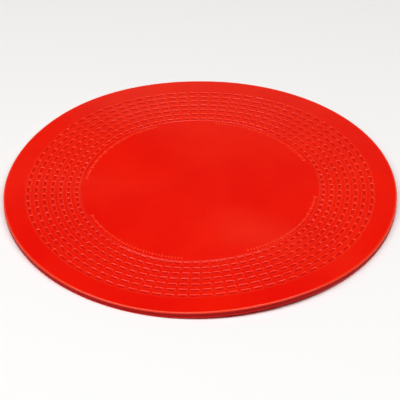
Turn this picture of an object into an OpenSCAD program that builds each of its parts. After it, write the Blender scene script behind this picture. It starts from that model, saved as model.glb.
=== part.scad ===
// Round, flat, flexible pad moulded in one go from red rubber.
// A band of shallow pockets runs round the upper face, with a fine raised bead along its inner edge.
// Four arcs of short raised marks stand just inside the bead, and the middle is smooth.
// The origin is the centre of the underside. +Z is up, and -Y is the front.

/* [Pad] */
// Diameter over the rim
pad_d = 190; // [150:1:216]
// Thickness of the slab, without the raised bead and marks
pad_t = 3.2; // [2.5:0.1:5]
// Radius that softens the upper and lower edges of the rim
edge_r = 0.5; // [0.1:0.05:1]

/* [Grip band] */
// Width of the plain border between the rim and the band
border_w = 10.8; // [5:0.1:15]
// Number of rings of pockets
pocket_rows = 7; // [1:1:7]
// Number of pockets in one ring
pocket_columns = 90; // [30:1:90]
// Length of one pocket along the radius
pocket_len = 2; // [1:0.1:3]
// Distance from one ring of pockets to the next
row_pitch = 3.92; // [3.2:0.02:4.2]
// Share of the angle between two pockets that one pocket takes up
pocket_share = 0.78; // [0.4:0.01:0.8]
// Depth of the pockets
pocket_depth = 0.4; // [0.2:0.1:1]

/* [Ring bead] */
// Width of the bead at its foot
bead_w = 0.9; // [0.8:0.1:1.5]
// Height of the bead above the slab
bead_h = 0.3; // [0.3:0.05:0.8]
// Radius of the bead's two rounded shoulders
bead_shoulder_r = 0.15; // [0.1:0.05:0.15]
// Gap between the bead and the first ring of pockets
bead_gap = 0.1; // [0.1:0.1:1]

/* [Raised marks] */
// Angle from one arc's first mark to its last
arc_span = 58; // [20:1:80]
// Number of marks in one arc
arc_marks = 37; // [5:1:37]
// Length of a long mark along the radius
mark_len = 1.9; // [1.2:0.1:3]
// Share of a long mark's length that a short mark has
short_share = 0.6; // [0.5:0.05:1]
// Width of a mark
mark_w = 0.8; // [0.4:0.1:0.8]
// Height of a mark above the slab
mark_h = 0.25; // [0.1:0.05:0.5]
// Gap between the marks and the bead
mark_gap = 0.9; // [0.3:0.1:3]
// Turn of the first arc's middle from +X
arc_turn = 52; // [0:1:89]

/* [Hidden] */
$fn = 180;
RED = [0.9, 0.1, 0.04];
pad_r = pad_d / 2;
band_w = (pocket_rows - 1) * row_pitch + pocket_len;
band_r = pad_r - border_w - band_w;
column_angle = 360 / pocket_columns;
bead_r = band_r - bead_gap - bead_w / 2;
mark_r = bead_r - bead_w / 2 - mark_gap - mark_len / 2;
mark_angle = arc_span / (arc_marks - 1);
arc_angle = 90;
// One long mark, then two short ones
mark_pattern = [1, short_share, short_share];

function polar(r, a) = [r * cos(a), r * sin(a)];

// Half of the slab's section, with its two rounded edges
module slab_section() {
    square([pad_r - edge_r, pad_t]);
    translate([0, edge_r])
        square([pad_r, pad_t - 2 * edge_r]);
    for (z = [edge_r, pad_t - edge_r])
        translate([pad_r - edge_r, z])
            circle(r = edge_r);
}

// One pocket's space, which starts at its floor and runs out of the upper face
module pocket(inner_r) {
    outer_r = inner_r + pocket_len;
    half_angle = pocket_share * column_angle / 2;
    translate([0, 0, pad_t - pocket_depth])
        linear_extrude(2 * pocket_depth)
            polygon([
                polar(inner_r, -half_angle),
                polar(outer_r, -half_angle),
                polar(outer_r, half_angle),
                polar(inner_r, half_angle)
            ]);
}

// The slab: rim, border, band of pockets and smooth middle
module pad_body() {
    color(RED)
        difference() {
            rotate_extrude()
                slab_section();
            for (row = [0 : pocket_rows - 1])
                for (column = [0 : pocket_columns - 1])
                    rotate(column * column_angle)
                        pocket(band_r + row * row_pitch);
        }
}

// The bead's section, with its foot on the upper face and two rounded shoulders
module bead_section() {
    shoulder_x = bead_w / 2 - bead_shoulder_r;
    translate([bead_r, pad_t]) {
        translate([-bead_w / 2, 0])
            square([bead_w, bead_h - bead_shoulder_r]);
        translate([-shoulder_x, 0])
            square([2 * shoulder_x, bead_h]);
        for (x = [-shoulder_x, shoulder_x])
            translate([x, bead_h - bead_shoulder_r])
                circle(r = bead_shoulder_r);
    }
}

// The low bead between the smooth middle and the band
module ring_bead() {
    color(RED)
        rotate_extrude()
            bead_section();
}

// One raised mark: a short bar with round ends, which lies along the radius
module raised_mark(length) {
    reach = (length - mark_w) / 2;
    translate([mark_r, 0, pad_t]) {
        translate([-reach, -mark_w / 2, 0])
            cube([2 * reach, mark_w, mark_h]);
        for (x = [-reach, reach])
            translate([x, 0, 0])
                cylinder(d = mark_w, h = mark_h);
    }
}

// One arc of raised marks, numbered from the back right and turning towards the back left
module mark_arc(arc) {
    color(RED)
        for (i = [0 : arc_marks - 1])
            rotate(arc_turn + arc * arc_angle + i * mark_angle - arc_span / 2)
                raised_mark(mark_len * mark_pattern[i % len(mark_pattern)]);
}

pad_body();
ring_bead();
mark_arc(0);  // mark_arc_back_right
mark_arc(1);  // mark_arc_back_left
mark_arc(2);  // mark_arc_front_left
mark_arc(3);  // mark_arc_front_right
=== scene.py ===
"""A round, flat, flexible pad moulded from red rubber, lying on a pale table.

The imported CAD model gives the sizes. Each CAD node is replaced by a finer mesh of the same feature:
the slab with its softened rim and pockets, the bead round the smooth middle, and four arcs of raised marks.
"""

import math

import bpy
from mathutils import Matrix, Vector


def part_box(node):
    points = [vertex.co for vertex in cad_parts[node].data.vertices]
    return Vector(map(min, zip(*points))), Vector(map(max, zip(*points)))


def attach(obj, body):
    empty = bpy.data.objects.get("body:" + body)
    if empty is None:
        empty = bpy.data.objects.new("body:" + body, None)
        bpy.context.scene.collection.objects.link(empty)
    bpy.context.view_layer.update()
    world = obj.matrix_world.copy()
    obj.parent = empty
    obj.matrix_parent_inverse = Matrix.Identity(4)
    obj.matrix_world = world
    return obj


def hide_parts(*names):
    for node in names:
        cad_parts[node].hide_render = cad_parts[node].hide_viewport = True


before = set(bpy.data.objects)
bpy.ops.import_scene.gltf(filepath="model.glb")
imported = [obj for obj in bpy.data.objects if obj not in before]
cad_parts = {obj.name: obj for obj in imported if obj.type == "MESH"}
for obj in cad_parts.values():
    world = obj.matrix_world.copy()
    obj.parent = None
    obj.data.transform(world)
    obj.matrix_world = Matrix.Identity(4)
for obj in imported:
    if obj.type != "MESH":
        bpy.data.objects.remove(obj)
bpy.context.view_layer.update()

MM = 0.001
PAD_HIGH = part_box("pad_body")[1]
BEAD_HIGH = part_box("ring_bead")[1]
MARK_ARCS = ["mark_arc_back_right", "mark_arc_back_left", "mark_arc_front_left", "mark_arc_front_right"]

# The slab
PAD_R = PAD_HIGH.x
PAD_T = PAD_HIGH.z
EDGE_R = 0.5 * MM
EDGE_STEPS = 5
# Where its rings of points lie, as shares of the middle's radius, the border's width, the slab's thickness
# and the underside's radius
MIDDLE_SHARES = (0.04, 0.2, 0.4, 0.6, 0.75, 0.88, 0.95)
BORDER_SHARES = (0.25, 0.5, 0.75, 0.95)
SIDE_SHARES = (0.7, 0.3)
UNDER_SHARES = (0.97, 0.85, 0.7, 0.55, 0.4, 0.2, 0.04)

# The band of pockets
BORDER_W = 10.8 * MM
ROWS = 7
COLUMNS = 90
POCKET_LEN = 2.0 * MM
ROW_PITCH = 3.92 * MM
POCKET_SHARE = 0.78
POCKET_DEPTH = 0.4 * MM
CORNER_R = 0.5 * MM
LIP_R = 0.35 * MM
LIP_STEPS = 3
FLOOR_R = 0.2 * MM
FLOOR_STEPS = 2
DRAFT = math.radians(40)
COLUMN_ANGLE = math.tau / COLUMNS
POCKET_HALF_ANGLE = POCKET_SHARE * COLUMN_ANGLE / 2
BAND_R = PAD_R - BORDER_W - (ROWS - 1) * ROW_PITCH - POCKET_LEN
LAND = (ROW_PITCH - POCKET_LEN) / 2
BAND_RINGS = [BAND_R - LAND + row * ROW_PITCH for row in range(ROWS + 1)]

# The slab's rings have four points to a column: on the seam between two columns, in line with the middle of
# a pocket, and in line with the ends of the straight part of its long side
STRAIGHT_HALF_ANGLE = POCKET_HALF_ANGLE - CORNER_R / (BAND_R + ROWS * ROW_PITCH / 2)
STOPS = [-COLUMN_ANGLE / 2, -STRAIGHT_HALF_ANGLE, 0, STRAIGHT_HALF_ANGLE]
RING_ANGLES = [column * COLUMN_ANGLE + stop for column in range(COLUMNS) for stop in STOPS]

# The bead. An exponent below 1 makes its top fuller than half an ellipse
BEAD_W = 0.9 * MM
BEAD_H = BEAD_HIGH.z - PAD_T
BEAD_R = BEAD_HIGH.x - BEAD_W / 2
BEAD_EXPONENT = 0.8
BEAD_STEPS = 10
BEAD_TURNS = 4 * COLUMNS
# How far the foot of the bead and of each mark is sunk into the slab
SUNK = 0.06 * MM

# The marks
ARC_MARKS = 37
MARK_LEN = 1.9 * MM
MARK_W = 0.8 * MM
MARK_H = 0.25 * MM
MARK_GAP = 0.9 * MM
MARK_PATTERN = [1, 0.6, 0.6]
MARK_END_STEPS = 6
MARK_R = BEAD_R - BEAD_W / 2 - MARK_GAP - MARK_LEN / 2
ARC_SPAN = math.radians(58)
ARC_TURN = math.radians(52)
# A mark's outlines from its foot up: (inset as a share of its width, height, painted light, which makes the
# tops paler as a painted highlight)
MARK_LEVELS = [
    (0, -SUNK, 0),
    (0, 0.45 * MARK_H, 0.6),
    (0.06, 0.8 * MARK_H, 1),
    (0.14, 0.97 * MARK_H, 1),
    (0.2, MARK_H, 1),
]

# Painted light, which the material reads: above 0 is a paler edge, a painted highlight, and below 0 is a
# deeper red, painted shade
LIP_HIGHLIGHT_PAINT = [0.2, 0.8, 0.8, 0.1]
FLOOR_SHADE_PAINT = [-0.2, -0.45, -0.45]
RIM_HIGHLIGHT_PAINT = 1.0
SIDE_SHADE_PAINT = -1.0
LOWER_EDGE_PAINTED_LIGHT = 0.2
UNDER_SHADE_PAINT = -0.2
BEAD_HIGHLIGHT_PAINT = 0.1

# The flexible pad stands a little off the table in places: (angle in degrees, half width in degrees, lift).
# The lift starts at the first of these shares of the radius, and is full from the second
WAVES = [(290, 42, 1.7 * MM), (128, 44, 1.1 * MM), (195, 36, 0.4 * MM)]
FLAT_SHARE = 0.15
RISEN_SHARE = 0.75

# The order of the rubber's two finishes among each piece's materials
GLOSS, MATTE = 0, 1

# The camera
LENS = 169.5
CAMERA_DISTANCE = 9.6 * PAD_R
CAMERA_ELEVATION = math.radians(36.2)
CAMERA_ROLL = math.radians(-0.7)
CAMERA_TARGET = (-0.1 * MM, -9.9 * MM, PAD_T)


def polar(r, angle, z):
    """A point from its distance from the axis, its angle and its height."""
    return (r * math.cos(angle), r * math.sin(angle), z)


def smooth(t):
    """Eases from 0 to 1."""
    t = min(max(t, 0), 1)
    return t * t * (3 - 2 * t)


def edge_lift(x, y):
    """How far a point is off the table: nothing in the middle, and a soft wave where the rim is raised."""
    share = smooth((math.hypot(x, y) / PAD_R - FLAT_SHARE) / (RISEN_SHARE - FLAT_SHARE))
    angle = math.degrees(math.atan2(y, x))
    lift = 0
    for crest, half_width, height in WAVES:
        off = abs((angle - crest + 180) % 360 - 180)
        lift += height * smooth(1 - off / half_width)
    return share * lift


class Skin:
    """A mesh while it is being built: its points, each with its painted light, and its faces, each with its
    finish.
    """

    def __init__(self):
        self.points = []
        self.painted_light = []
        self.faces = []
        self.finishes = []
        self.finish = GLOSS

    def add(self, points, painted_light=0.0):
        """Adds points and returns their numbers."""
        start = len(self.points)
        self.points += points
        self.painted_light += [painted_light] * len(points)
        return list(range(start, len(self.points)))

    def face(self, *corners):
        """Adds one face in the finish that is set."""
        self.faces.append(corners)
        self.finishes.append(self.finish)

    def bridge(self, outer, inner):
        """Joins two closed loops of the same length with a strip of four-sided faces."""
        for i in range(len(outer)):
            j = (i + 1) % len(outer)
            self.face(outer[i], outer[j], inner[j], inner[i])

    def fan(self, loop, centre):
        """Closes a loop with triangles round one point."""
        for i in range(len(loop)):
            self.face(loop[i], loop[(i + 1) % len(loop)], centre)


def make_piece(name, node, skin, finishes):
    """A smooth-shaded mesh laid on the table, which stands for one CAD node."""
    mesh = bpy.data.meshes.new(name)
    mesh.from_pydata([(x, y, z + edge_lift(x, y)) for x, y, z in skin.points], [], skin.faces)
    mesh.shade_smooth()
    mesh.attributes.new("painted_light", "FLOAT", "POINT").data.foreach_set("value", skin.painted_light)
    for material in finishes[:max(skin.finishes) + 1]:
        mesh.materials.append(material)
    mesh.polygons.foreach_set("material_index", skin.finishes)
    piece = bpy.data.objects.new(name, mesh)
    bpy.context.scene.collection.objects.link(piece)
    even = piece.modifiers.new("even_shading", "WEIGHTED_NORMAL")
    even.mode = "FACE_AREA"
    even.keep_sharp = False
    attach(piece, "root")
    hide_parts(node)


def arc_profile(radius, first, last, steps):
    """Offsets (across, down) along a round from one slope to another, starting at its own first point."""
    angles = [first + (last - first) * i / steps for i in range(steps + 1)]
    return [
        (radius * (math.sin(a) - math.sin(first)), radius * (math.cos(first) - math.cos(a)))
        for a in angles
    ]


def pocket_profile():
    """The pocket's wall as (inset, depth, painted light): a rounded lip, a drafted wall and a rounded foot,
    with the lip painted paler as a highlight and the floor painted a deeper red as shade.
    """
    steep = math.pi / 2 - DRAFT
    lip = arc_profile(LIP_R, 0, steep, LIP_STEPS)
    foot = arc_profile(FLOOR_R, steep, 0, FLOOR_STEPS)
    foot = [(abs(across), abs(down)) for across, down in foot]
    lip_w, lip_h = lip[-1]
    foot_h = foot[-1][1]
    wall_h = POCKET_DEPTH - lip_h - foot_h
    wall_w = wall_h * math.tan(DRAFT)
    start = -lip_w / 2
    wall = [(start + across, down) for across, down in lip]
    base = (wall[-1][0] + wall_w, wall[-1][1] + wall_h)
    floor = [(base[0] + across, base[1] + down) for across, down in foot]
    return [(inset, depth, painted_light) for (inset, depth), painted_light in zip(wall + floor, LIP_HIGHLIGHT_PAINT + FLOOR_SHADE_PAINT)]


def pocket_loop(mid_r, mid_angle, inset, z):
    """Fourteen points round one pocket, counter-clockwise from above, at an inset from its nominal wall."""
    half_u = POCKET_LEN / 2 - inset
    half_v = POCKET_HALF_ANGLE * mid_r - inset
    round_r = max(CORNER_R - inset, CORNER_R / 4)
    near_u, near_v = half_u - round_r, half_v - round_r
    bulge_u = near_u + round_r * math.sqrt(0.5)
    bulge_v = near_v + round_r * math.sqrt(0.5)
    local = [
        (-bulge_u, -bulge_v), (-near_u, -half_v), (near_u, -half_v),
        (bulge_u, -bulge_v), (half_u, -near_v), (half_u, 0), (half_u, near_v),
        (bulge_u, bulge_v), (near_u, half_v), (-near_u, half_v),
        (-bulge_u, bulge_v), (-half_u, near_v), (-half_u, 0), (-half_u, -near_v),
    ]
    return [polar(mid_r + u, mid_angle + v / mid_r, z) for u, v in local]


def add_ring(skin, r, z, painted_light=0.0):
    """Adds one ring of the slab's points."""
    return skin.add([polar(r, angle, z) for angle in RING_ANGLES], painted_light)


def add_pocket(skin, edge, mid_r, angle, profile):
    """Fills the edge of a cell with the land round a pocket, its lip, its wall and its floor."""
    for step, (inset, depth, painted_light) in enumerate(profile):
        skin.finish = MATTE if step > LIP_STEPS else GLOSS
        loop = skin.add(pocket_loop(mid_r, angle, inset, PAD_T - depth), painted_light)
        skin.bridge(edge, loop)
        edge = loop
    skin.face(*edge)


def add_row(skin, rings, radii, profile):
    """One row of pockets between two rings of points. Neighbouring cells share the points of their seam."""
    inner_r, outer_r = radii
    side = LAND + CORNER_R
    seams = []
    for column in range(COLUMNS):
        seam_angle = column * COLUMN_ANGLE - COLUMN_ANGLE / 2
        seams.append(skin.add([polar(r, seam_angle, PAD_T) for r in (inner_r + side, outer_r - side)]))
    for column in range(COLUMNS):
        first = column * len(STOPS)
        inner, outer = [[ring[(first + i) % len(ring)] for i in range(len(STOPS) + 1)] for ring in rings]
        low, high = seams[column], seams[(column + 1) % COLUMNS]
        edge = [inner[0], *low, *outer, high[1], high[0], *reversed(inner[1:])]
        add_pocket(skin, edge, (inner_r + outer_r) / 2, column * COLUMN_ANGLE, profile)


def pad_skin(finishes):
    """The slab: a smooth middle, the band of pockets, a plain border, a softened rim and a flat underside."""
    skin = Skin()
    centre = skin.add([(0, 0, PAD_T)])[0]
    middle = [add_ring(skin, BAND_RINGS[0] * share, PAD_T) for share in MIDDLE_SHARES]
    skin.fan(middle[0], centre)
    lattice = [add_ring(skin, r, PAD_T) for r in BAND_RINGS]
    profile = pocket_profile()
    for row in range(ROWS):
        add_row(skin, lattice[row:row + 2], BAND_RINGS[row:row + 2], profile)

    turns = [math.pi / 2 * i / EDGE_STEPS for i in range(EDGE_STEPS + 1)]
    rounds = [(EDGE_R * math.sin(turn), EDGE_R * math.cos(turn)) for turn in turns]
    rim_start = PAD_R - EDGE_R
    border_w = rim_start - BAND_RINGS[-1]
    border = [lattice[-1]]
    border += [add_ring(skin, BAND_RINGS[-1] + border_w * share, PAD_T) for share in BORDER_SHARES]
    # The rim's round is painted paler as a highlight, the side wall and the underside a deeper red as painted
    # shade, and the lower round a little paler
    border += [add_ring(skin, rim_start + out, PAD_T - EDGE_R + up, RIM_HIGHLIGHT_PAINT) for out, up in rounds]
    below = [border[-1]]
    below += [add_ring(skin, PAD_R, PAD_T * share, SIDE_SHADE_PAINT) for share in SIDE_SHARES]
    below += [add_ring(skin, rim_start + out, EDGE_R - up, LOWER_EDGE_PAINTED_LIGHT) for out, up in reversed(rounds)]
    below += [add_ring(skin, rim_start * share, 0, UNDER_SHADE_PAINT) for share in UNDER_SHARES]
    for finish, chain in ((GLOSS, middle + [lattice[0]]), (GLOSS, border), (MATTE, below)):
        skin.finish = finish
        for here, beyond in zip(chain, chain[1:]):
            skin.bridge(beyond, here)
    under_centre = skin.add([(0, 0, 0)])[0]
    skin.fan(list(reversed(below[-1])), under_centre)
    make_piece("pad_skin", "pad_body", skin, finishes)


def bead_skin(finishes):
    """The raised bead: a ring with a round top, whose foot is sunk a little into the slab."""
    skin = Skin()
    turns = [math.pi * i / BEAD_STEPS for i in range(BEAD_STEPS + 1)]
    top = [(BEAD_W / 2 * math.cos(turn), BEAD_H * math.sin(turn) ** BEAD_EXPONENT) for turn in turns]
    loops = []
    for out, up in [(BEAD_W / 2, -SUNK), *top, (-BEAD_W / 2, -SUNK)]:
        # The upper half of the bead is painted a little paler, as a highlight
        painted_light = BEAD_HIGHLIGHT_PAINT if up > BEAD_H / 2 else 0.0
        points = [polar(BEAD_R + out, math.tau * i / BEAD_TURNS, PAD_T + up) for i in range(BEAD_TURNS)]
        loops.append(skin.add(points, painted_light))
    for here, beyond in zip(loops, loops[1:] + loops[:1]):
        skin.bridge(here, beyond)
    make_piece("ring_bead_skin", "ring_bead", skin, finishes)


def mark_loop(angle, length, width, z):
    """The outline of one mark, counter-clockwise from above: a bar with round ends, along the radius."""
    reach = (length - width) / 2
    local = []
    for end, turn in ((1, -math.pi / 2), (-1, math.pi / 2)):
        for i in range(MARK_END_STEPS + 1):
            a = turn + math.pi * i / MARK_END_STEPS
            local.append((end * reach + width / 2 * math.cos(a), width / 2 * math.sin(a)))
    radial = Vector((math.cos(angle), math.sin(angle)))
    across = Vector((-radial.y, radial.x))
    return [(*(radial * (MARK_R + u) + across * v), z) for u, v in local]


def mark_arc_skin(arc, node, finishes):
    """One arc of raised marks, each a low bar with a rounded top."""
    skin = Skin()
    for i in range(ARC_MARKS):
        angle = ARC_TURN + arc * math.pi / 2 + ARC_SPAN * (i / (ARC_MARKS - 1) - 0.5)
        length = MARK_LEN * MARK_PATTERN[i % len(MARK_PATTERN)]
        below = None
        for share, up, painted_light in MARK_LEVELS:
            inset = share * MARK_W
            loop = skin.add(mark_loop(angle, length - 2 * inset, MARK_W - 2 * inset, PAD_T + up), painted_light)
            if below:
                skin.bridge(below, loop)
            else:
                skin.face(*reversed(loop))
            below = loop
        skin.face(*below)
    make_piece(node + "_skin", node, skin, finishes)


class Nodes:
    """A short way to add and join a material's nodes."""

    def __init__(self, name):
        self.material = bpy.data.materials.new(name)
        self.material.use_nodes = True
        self.tree = self.material.node_tree
        self.shader = self.tree.nodes["Principled BSDF"]

    def add(self, kind, settings=None, **inputs):
        """Adds a node. An input is a number, a colour or another node's output."""
        node = self.tree.nodes.new(kind)
        for key, value in (settings or {}).items():
            setattr(node, key, value)
        for key, value in inputs.items():
            self.put(node.inputs[key.replace("_", " ")], value)
        return node

    def put(self, socket, value):
        """Sets a socket to a value, or joins another node's output to it."""
        if isinstance(value, bpy.types.NodeSocket):
            self.tree.links.new(value, socket)
        else:
            socket.default_value = value

    def noise(self, scale, detail, distortion=0.0):
        """Noise over the object's own coordinates, in metres."""
        place = self.add("ShaderNodeTexCoord").outputs["Object"]
        node = self.add("ShaderNodeTexNoise", Vector=place, Scale=scale, Detail=detail, Distortion=distortion)
        return node.outputs["Fac"]

    def spread(self, value, low, high, to_low, to_high):
        """Maps a value from one range to another, and clamps it."""
        ends = {"From_Min": low, "From_Max": high, "To_Min": to_low, "To_Max": to_high}
        return self.add("ShaderNodeMapRange", Value=value, **ends).outputs["Result"]

    def mix(self, share, a, b):
        """Mixes two colours."""
        node = self.add("ShaderNodeMix", {"data_type": "RGBA"}, Factor=share)
        first, second = [socket for socket in node.inputs if socket.type == "RGBA"]
        self.put(first, a)
        self.put(second, b)
        return next(socket for socket in node.outputs if socket.type == "RGBA")

    def total(self, a, b):
        """The sum of two values."""
        node = self.add("ShaderNodeMath", {"operation": "ADD"})
        self.put(node.inputs[0], a)
        self.put(node.inputs[1], b)
        return node.outputs[0]

    def bump(self, height, distance, under=None):
        """Relief of a given depth, on top of any relief under it."""
        node = self.add("ShaderNodeBump", Height=height, Distance=distance)
        if under:
            self.put(node.inputs["Normal"], under)
        return node.outputs["Normal"]


def red_rubber(name, smoothest, roughest, specular):
    """Moulded red rubber: deep and even in colour, with a fine grain, soft flow ripples and faint smudges, a
    painted highlight on its edges and painted shade on its side wall, pocket floors and underside.
    """
    deep, warm = (0.82, 0.004, 0.001, 1), (0.88, 0.008, 0.001, 1)
    dark_grain = (0.6, 0.001, 0.001, 1)
    # Painted light: a paler red for highlights on edges, and a dark red for shade
    painted_highlight_red = (1.0, 0.08, 0.02, 1)
    shaded = (0.36, 0.001, 0.001, 1)
    n = Nodes(name)
    # The value each point carries mixes in the paler red above 0, a painted highlight, and the dark red below
    # 0, painted shade
    painted_light = n.add("ShaderNodeAttribute", {"attribute_name": "painted_light"}).outputs["Fac"]
    painted_highlight_share = n.spread(painted_light, 0, 1, 0, 0.5)
    painted_shade_share = n.spread(painted_light, -1, 0, 0.9, 0)
    mottle = n.spread(n.noise(22, detail=4, distortion=0.6), 0.35, 0.65, 0, 1)
    speckle = n.spread(n.noise(1400, detail=2), 0.42, 0.62, 0, 0.12)
    colour = n.mix(mottle, deep, warm)
    colour = n.mix(speckle, colour, dark_grain)
    colour = n.mix(painted_highlight_share, colour, painted_highlight_red)
    colour = n.mix(painted_shade_share, colour, shaded)
    n.put(n.shader.inputs["Base Color"], colour)
    smudge = n.spread(n.noise(38, detail=5, distortion=1.4), 0.5, 0.72, 0, 0.03)
    grain = n.spread(n.noise(900, detail=3), 0.3, 0.7, smoothest, roughest)
    n.put(n.shader.inputs["Roughness"], n.total(grain, smudge))
    ripples = n.bump(n.noise(55, detail=2, distortion=0.4), 0.06 * MM)
    peel = n.bump(n.noise(420, detail=3), 0.012 * MM, under=ripples)
    relief = n.bump(n.noise(3200, detail=2), 0.004 * MM, under=peel)
    n.put(n.shader.inputs["Normal"], relief)
    n.shader.inputs["Specular IOR Level"].default_value = specular
    return n.material


def pale_floor():
    """A plain matt white table, several metres across."""
    n = Nodes("white_table")
    n.shader.inputs["Base Color"].default_value = (0.9, 0.9, 0.9, 1)
    n.shader.inputs["Roughness"].default_value = 0.9
    mesh = bpy.data.meshes.new("table")
    reach = 4.0
    corners = [(-reach, -reach, 0), (reach, -reach, 0), (reach, reach, 0), (-reach, reach, 0)]
    mesh.from_pydata(corners, [], [(0, 1, 2, 3)])
    mesh.materials.append(n.material)
    floor = bpy.data.objects.new("table", mesh)
    bpy.context.scene.collection.objects.link(floor)


def aim(thing, target):
    """Turns a light or camera to look at a point."""
    thing.rotation_euler = (Vector(target) - thing.location).to_track_quat("-Z", "Y").to_euler()


def soft_box(name, place, target, width, depth, watts, tint=(1, 1, 1)):
    """A rectangular studio light at a place, turned to a target."""
    data = bpy.data.lights.new(name, "AREA")
    data.shape = "RECTANGLE"
    data.size, data.size_y = width, depth
    data.energy = watts
    data.color = tint
    light = bpy.data.objects.new(name, data)
    light.location = place
    bpy.context.scene.collection.objects.link(light)
    aim(light, target)
    light.visible_camera = False


def studio():
    """Dim white surroundings, a wide overhead box, a low warm box behind and a weak fill at the front left."""
    world = bpy.data.worlds.new("studio")
    world.use_nodes = True
    background = world.node_tree.nodes["Background"]
    background.inputs["Color"].default_value = (1, 1, 1, 1)
    background.inputs["Strength"].default_value = 0.015
    bpy.context.scene.world = world
    warm = (1, 0.72, 0.4)
    soft_box("overhead_box", (-0.1, -0.3, 1.1), (-0.1, 0, 0), width=2.4, depth=0.7, watts=21.8)
    soft_box("back_box", (0, 1.4, 0.42), (0, 0, 0), width=3.0, depth=0.82, watts=4, tint=warm)
    soft_box("left_fill", (-1.1, -0.5, 0.7), (0, 0, 0), width=0.6, depth=0.6, watts=1.5)


def camera():
    """A long lens in front of the pad, about 36 degrees above the table."""
    data = bpy.data.cameras.new("camera")
    data.sensor_width = 36
    data.lens = LENS
    view = bpy.data.objects.new("camera", data)
    back = CAMERA_DISTANCE * math.cos(CAMERA_ELEVATION)
    up = CAMERA_DISTANCE * math.sin(CAMERA_ELEVATION)
    view.location = (0, -back, up + PAD_T)
    aim(view, CAMERA_TARGET)
    view.rotation_euler.rotate_axis("Z", CAMERA_ROLL)
    bpy.context.scene.collection.objects.link(view)
    bpy.context.scene.camera = view


camera()
studio()
pale_floor()
rubber = [
    red_rubber("satin_red_rubber", smoothest=0.14, roughest=0.2, specular=0.5),
    red_rubber("matte_red_rubber", smoothest=0.4, roughest=0.55, specular=0.1),
]
pad_skin(rubber)
bead_skin(rubber)
for arc_number, arc_node in enumerate(MARK_ARCS):
    mark_arc_skin(arc_number, arc_node, rubber)
bpy.context.scene.view_settings.view_transform = "Standard"
